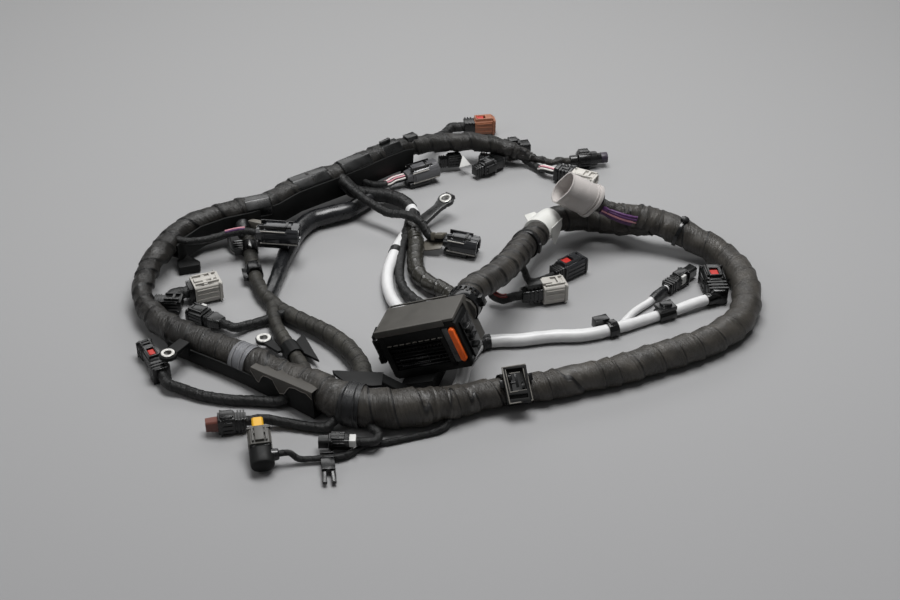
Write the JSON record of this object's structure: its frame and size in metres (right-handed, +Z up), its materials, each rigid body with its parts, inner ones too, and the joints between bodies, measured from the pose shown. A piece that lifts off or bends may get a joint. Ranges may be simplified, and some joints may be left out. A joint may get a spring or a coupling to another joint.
{
  "type": "vehicle wiring harness",
  "caption": "Vehicle wiring harness: a thick taped trunk bent in a loop, with taped branches, plastic sleeves, moulded plugs, a control unit plug, clips and a trough.",
  "frame": {"origin": "centre of the bounding box's base, on the floor the harness lies on", "axes": "+X to the right and +Y to the back of the harness as laid out, seen from the control unit plug's mating side; +Z up"},
  "size_m": [0.621, 0.6296, 0.0974],
  "materials": {
    "back_eyelet_bracket": "moulded, satin",
    "back_eyelet_ring": "plated, satin",
    "block_clip": "moulded, satin",
    "boot_connector": "moulded, satin",
    "boot_lock": "moulded, satin",
    "brown_cable": "cloth tape wrap, matt",
    "brown_connector": "moulded, satin",
    "brown_lock": "moulded, satin",
    "brown_tip_cable": "cloth tape wrap, matt",
    "brown_tip_connector": "moulded, satin",
    "cluster_connector": "moulded, satin",
    "convoluted_tube": "moulded, satin",
    "ecu_bracket": "moulded, satin",
    "ecu_cover": "moulded, satin",
    "ecu_housing": "moulded, satin",
    "ecu_seal": "smooth, satin",
    "ecu_trunk": "cloth tape wrap, matt",
    "fork_clip": "moulded, satin",
    "frame_clip": "moulded, satin",
    "hose": "smooth, satin",
    "label_flag": "moulded, satin",
    "left_eyelet_ring": "plated, satin",
    "left_grey_cable": "cloth tape wrap, matt",
    "left_grey_connector": "moulded, satin",
    "left_loop_cable": "cloth tape wrap, matt",
    "left_loop_connector": "moulded, satin",
    "left_loop_lock": "moulded, satin",
    "leg_guard": "moulded, satin",
    "light_grey_cable": "cloth tape wrap, matt",
    "light_grey_connector": "moulded, satin",
    "main_trunk": "cloth tape wrap, matt",
    "middle_branch": "cloth tape wrap, matt",
    "oval_shell": "smooth, glossy",
    "protector_channel": "moulded, satin",
    "red_lock": "moulded, satin",
    "red_lock_cable": "cloth tape wrap, matt",
    "red_lock_connector": "moulded, satin",
    "round_connector": "moulded, satin",
    "second_leg": "cloth tape wrap, matt",
    "shiny_left": "smooth, glossy",
    "shiny_left_cable": "cloth tape wrap, matt",
    "shiny_middle": "smooth, glossy",
    "shiny_middle_cable": "cloth tape wrap, matt",
    "shiny_right": "smooth, glossy",
    "shiny_right_cable": "cloth tape wrap, matt",
    "short_branch": "cloth tape wrap, matt",
    "sleeve_a_cable": "smooth, glossy",
    "sleeve_b_cable": "smooth, glossy",
    "sleeve_b_thin": "smooth, glossy",
    "small_dark_cable": "cloth tape wrap, matt",
    "small_dark_connector": "moulded, satin",
    "spare_connector": "moulded, satin",
    "tab_connector": "moulded, satin",
    "taped_cluster_cable": "cloth tape wrap, matt",
    "taped_cluster_connector": "moulded, satin",
    "thin_sleeve_connector": "moulded, satin",
    "trough_rail": "moulded, satin",
    "twin_clip": "moulded, satin",
    "yellow_cable": "cloth tape wrap, matt",
    "yellow_top_connector": "moulded, satin"
  },
  "bodies": {
    "harness": {"back_eyelet_bracket": "back_eyelet_bracket", "back_eyelet_ring": "back_eyelet_ring", "block_clip": "block_clip", "boot_connector": "boot_connector", "brown_cable": "brown_cable", "brown_connector": "brown_connector", "brown_tip_cable": "brown_tip_cable", "brown_tip_connector": "brown_tip_connector", "cluster_connector": "cluster_connector", "convoluted_tube": "convoluted_tube", "ecu_bracket": "ecu_bracket", "ecu_cover": "ecu_cover", "ecu_housing": "ecu_housing", "ecu_seal": "ecu_seal", "ecu_trunk": "ecu_trunk", "fork_clip": "fork_clip", "frame_clip": "frame_clip", "hose": "hose", "label_flag": "label_flag", "left_eyelet_ring": "left_eyelet_ring", "left_grey_cable": "left_grey_cable", "left_grey_connector": "left_grey_connector", "left_loop_cable": "left_loop_cable", "left_loop_connector": "left_loop_connector", "leg_guard": "leg_guard", "light_grey_cable": "light_grey_cable", "light_grey_connector": "light_grey_connector", "main_trunk": "main_trunk", "middle_branch": "middle_branch", "oval_shell": "oval_shell", "protector_channel": "protector_channel", "red_lock_cable": "red_lock_cable", "red_lock_connector": "red_lock_connector", "round_connector": "round_connector", "second_leg": "second_leg", "shiny_left": "shiny_left", "shiny_left_cable": "shiny_left_cable", "shiny_middle": "shiny_middle", "shiny_middle_cable": "shiny_middle_cable", "shiny_right": "shiny_right", "shiny_right_cable": "shiny_right_cable", "short_branch": "short_branch", "sleeve_a_cable": "sleeve_a_cable", "sleeve_b_cable": "sleeve_b_cable", "sleeve_b_thin": "sleeve_b_thin", "small_dark_cable": "small_dark_cable", "small_dark_connector": "small_dark_connector", "spare_connector": "spare_connector", "tab_connector": "tab_connector", "taped_cluster_cable": "taped_cluster_cable", "taped_cluster_connector": "taped_cluster_connector", "thin_sleeve_connector": "thin_sleeve_connector", "trough_rail": "trough_rail", "twin_clip": "twin_clip", "yellow_cable": "yellow_cable", "yellow_top_connector": "yellow_top_connector"},
    "brown_lock": {"brown_lock": "brown_lock"},
    "left_loop_lock": {"left_loop_lock": "left_loop_lock"},
    "red_lock": {"red_lock": "red_lock"},
    "boot_lock": {"boot_lock": "boot_lock"}
  },
  "joints": [
    {"name": "brown_lock_slide", "type": "slide", "parent": "harness", "child": "brown_lock", "axis": [0.9903, 0.1392, 0], "range_m": [0, 0.002]},
    {"name": "left_loop_lock_slide", "type": "slide", "parent": "harness", "child": "left_loop_lock", "axis": [-0.4848, 0.8746, 0], "range_m": [0, 0.0025]},
    {"name": "red_lock_slide", "type": "slide", "parent": "harness", "child": "red_lock", "axis": [0.7771, 0.6293, 0], "range_m": [0, 0.0025]},
    {"name": "boot_lock_slide", "type": "slide", "parent": "harness", "child": "boot_lock", "axis": [-0.0523, 0.9986, 0], "range_m": [0, 0.0025]}
  ]
}
